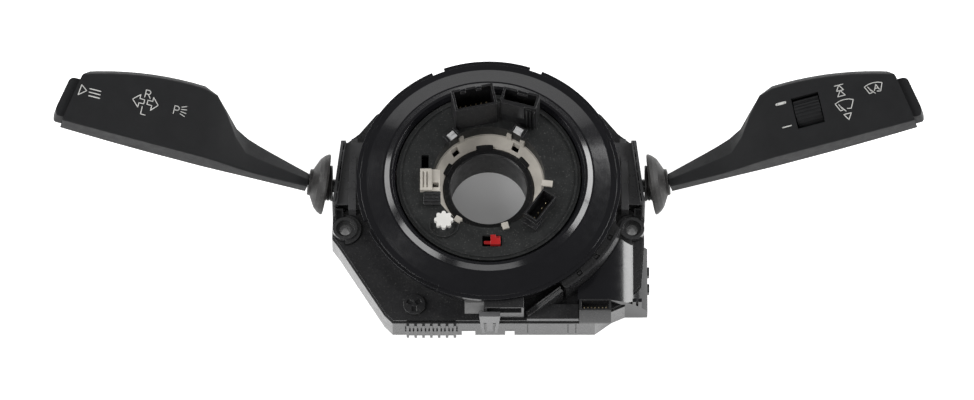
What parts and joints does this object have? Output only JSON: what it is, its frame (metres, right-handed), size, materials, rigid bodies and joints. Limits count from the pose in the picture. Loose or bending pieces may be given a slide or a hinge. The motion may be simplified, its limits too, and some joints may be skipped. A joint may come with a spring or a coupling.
{
  "type": "steering column combination stalk switch",
  "caption": "Steering-column switch assembly: clock-spring rotor and cassette on a base, with a rocking stalk, boot and end button on each side.",
  "frame": {"origin": "centre of the shaft bore at the rear face", "axes": "+Z along the shaft bore towards the driver, +X to the wiper stalk's side, +Y upwards across the column"},
  "size_m": [0.4228, 0.1395, 0.054],
  "materials": {
    "housing_plastic": "satin dark grey, lightly grained",
    "plate_plastic": "matte black",
    "cover_gloss": "high gloss black",
    "rotor_plastic": "matte black, fine grain",
    "socket_plastic": "satin black",
    "ivory_plastic": "satin ivory",
    "white_plastic": "satin white",
    "red_plastic": "satin red",
    "pale_plastic": "matte pale grey",
    "stalk_plastic": "matte charcoal, fine grain",
    "boot_rubber": "matte dark brown-black",
    "board_green": "satin green solder mask",
    "chip_black": "matte black",
    "ribbon_film": "satin film",
    "spring_steel": "bright drawn steel",
    "contact_brass": "tinned brass"
  },
  "bodies": {
    "housing": {"base_housing": "housing_plastic", "carrier_plate": "plate_plastic", "rear_cover": "housing_plastic", "cover_screws": "spring_steel", "control_board": "board_green", "board_components": "chip_black", "cassette_cup": "plate_plastic", "cassette_cover": "cover_gloss", "ribbon_coil": "ribbon_film", "edge_strap": "plate_plastic", "contact_comb": "housing_plastic", "sensor_dome": "cover_gloss", "front_block": "plate_plastic", "harness_connector": "plate_plastic", "harness_pins": "contact_brass", "latch_box": "plate_plastic", "latch_bracket": "pale_plastic", "latch_clip": "spring_steel", "round_plug": "plate_plastic", "left_switch_case": "plate_plastic", "left_switch_lid": "plate_plastic", "left_cam_block": "white_plastic", "right_switch_case": "plate_plastic", "right_switch_lid": "plate_plastic", "right_cam_block": "white_plastic"},
    "rotor": {"rotor_disc": "rotor_plastic", "hub_ring": "ivory_plastic", "hub_sleeve": "socket_plastic", "code_disc": "pale_plastic", "left_socket": "socket_plastic", "right_socket": "socket_plastic", "lower_socket": "socket_plastic", "socket_pins": "contact_brass", "white_connector": "white_plastic", "ribbon_bridge": "plate_plastic", "contact_clips": "spring_steel", "red_pin": "red_plastic", "lock_spring": "spring_steel"},
    "lock": {"lock_button": "white_plastic"},
    "left_gimbal": {"left_gimbal_frame": "pale_plastic", "left_cross_pin": "spring_steel"},
    "left_stalk": {"left_stalk_core": "plate_plastic", "left_stalk_plunger": "white_plastic", "left_stalk_boot": "boot_rubber", "left_stalk_board": "board_green", "left_front_shell": "stalk_plastic", "left_back_shell": "stalk_plastic"},
    "left_button": {"left_end_button": "stalk_plastic"},
    "right_gimbal": {"right_gimbal_frame": "pale_plastic", "right_cross_pin": "spring_steel"},
    "right_stalk": {"right_stalk_core": "plate_plastic", "right_stalk_plunger": "white_plastic", "right_stalk_boot": "boot_rubber", "right_stalk_board": "board_green", "right_front_shell": "stalk_plastic", "right_back_shell": "stalk_plastic"},
    "right_button": {"right_end_button": "stalk_plastic"},
    "wheel": {"right_thumbwheel": "stalk_plastic"}
  },
  "joints": [
    {"name": "rotor_turn", "type": "hinge", "parent": "housing", "child": "rotor", "pos_m": [0, 0, 0], "axis": [0, 0, 1], "range_deg": [-900, 900]},
    {"name": "lock_press", "type": "slide", "parent": "rotor", "child": "lock", "axis": [0, 0, -1], "range_m": [0, 0.003], "stiffness_N_per_m": 300, "deforming": ["lock_spring"]},
    {"name": "left_swing", "type": "hinge", "parent": "housing", "child": "left_gimbal", "pos_m": [-0.0662, 0.0033, 0.0134], "axis": [0, 0, 1], "range_deg": [-7, 7]},
    {"name": "left_pull", "type": "hinge", "parent": "left_gimbal", "child": "left_stalk", "pos_m": [-0.0662, 0.0033, 0.0134], "axis": [0, 1, 0], "range_deg": [-5, 5], "stiffness_Nm_per_rad": 8},
    {"name": "left_button_press", "type": "slide", "parent": "left_stalk", "child": "left_button", "axis": [0.9635, -0.196, -0.1822], "range_m": [0, 0.0015], "stiffness_N_per_m": 400},
    {"name": "right_swing", "type": "hinge", "parent": "housing", "child": "right_gimbal", "pos_m": [0.0662, 0.0033, 0.0134], "axis": [0, 0, 1], "range_deg": [-7, 7]},
    {"name": "right_pull", "type": "hinge", "parent": "right_gimbal", "child": "right_stalk", "pos_m": [0.0662, 0.0033, 0.0134], "axis": [0, -1, 0], "range_deg": [0, 6], "stiffness_Nm_per_rad": 8},
    {"name": "right_button_press", "type": "slide", "parent": "right_stalk", "child": "right_button", "axis": [-0.9635, -0.196, -0.1822], "range_m": [0, 0.0015], "stiffness_N_per_m": 400},
    {"name": "wheel_turn", "type": "hinge", "parent": "right_stalk", "child": "wheel", "pos_m": [0.15617, 0.03508, 0.0303], "axis": [0.9635, 0.196, 0.1822], "range_deg": [-20, 20]}
  ]
}
